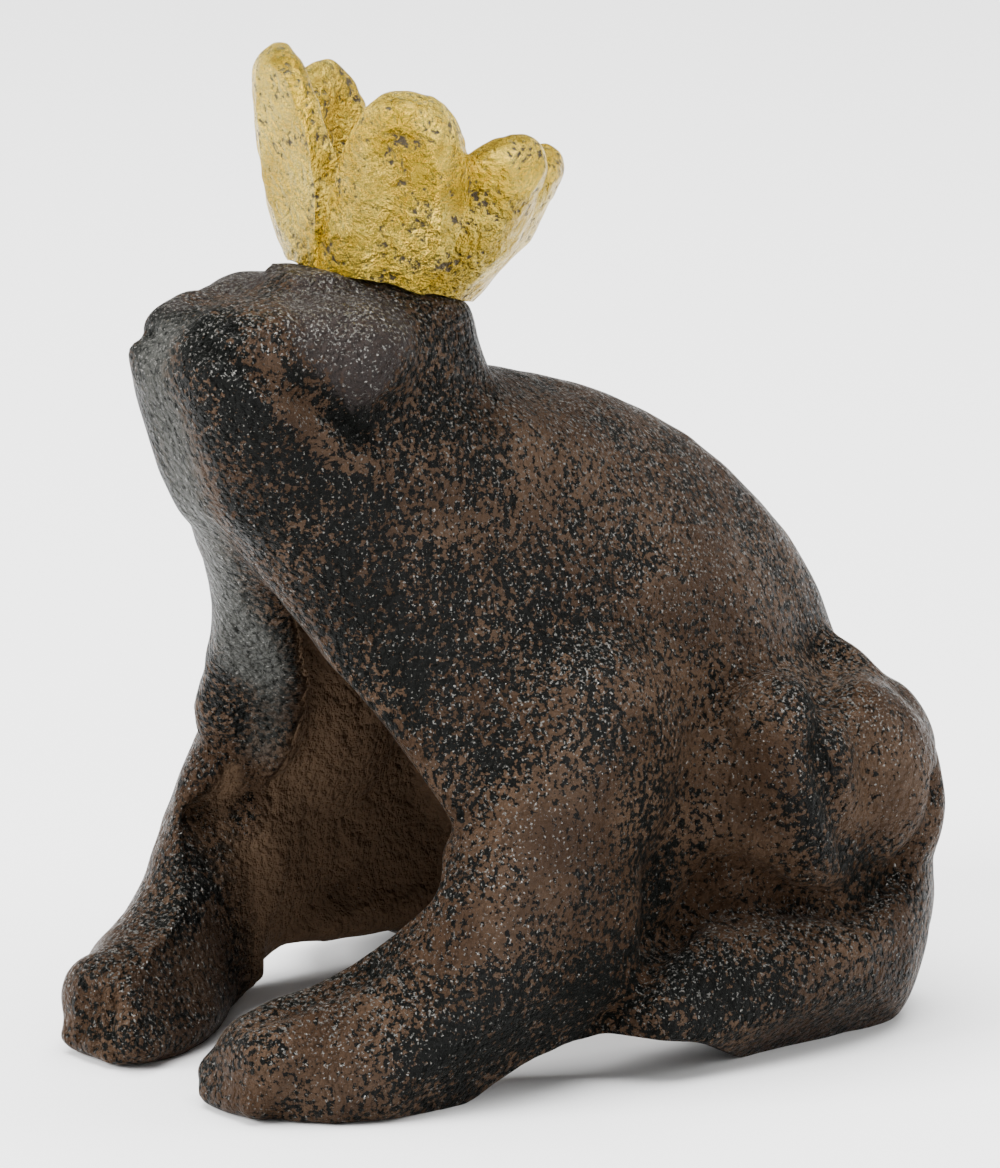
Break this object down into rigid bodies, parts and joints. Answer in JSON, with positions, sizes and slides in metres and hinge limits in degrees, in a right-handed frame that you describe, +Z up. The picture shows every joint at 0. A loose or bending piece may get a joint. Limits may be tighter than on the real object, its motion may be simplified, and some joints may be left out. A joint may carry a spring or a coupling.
{
  "type": "frog figurine",
  "caption": "Hollow cast-iron garden ornament of a seated frog with a gilded crown on its head, open underneath and between its front legs.",
  "frame": {"origin": "on the surface that the frog stands on, under the middle of its length and width", "axes": "+Z up, -Y the way the frog faces, +X its left side"},
  "size_m": [0.078, 0.0958, 0.1175],
  "materials": {
    "antiqued_iron": "rough sand casting with brown and black antique finish",
    "gilt_iron": "gold leaf paint on a rough casting",
    "zinc_steel": "zinc plated"
  },
  "bodies": {
    "root": {"frog_body": "antiqued_iron", "crown": "gilt_iron", "crown_stud": "zinc_steel", "crown_washer": "zinc_steel", "crown_nut": "zinc_steel"}
  },
  "joints": []
}
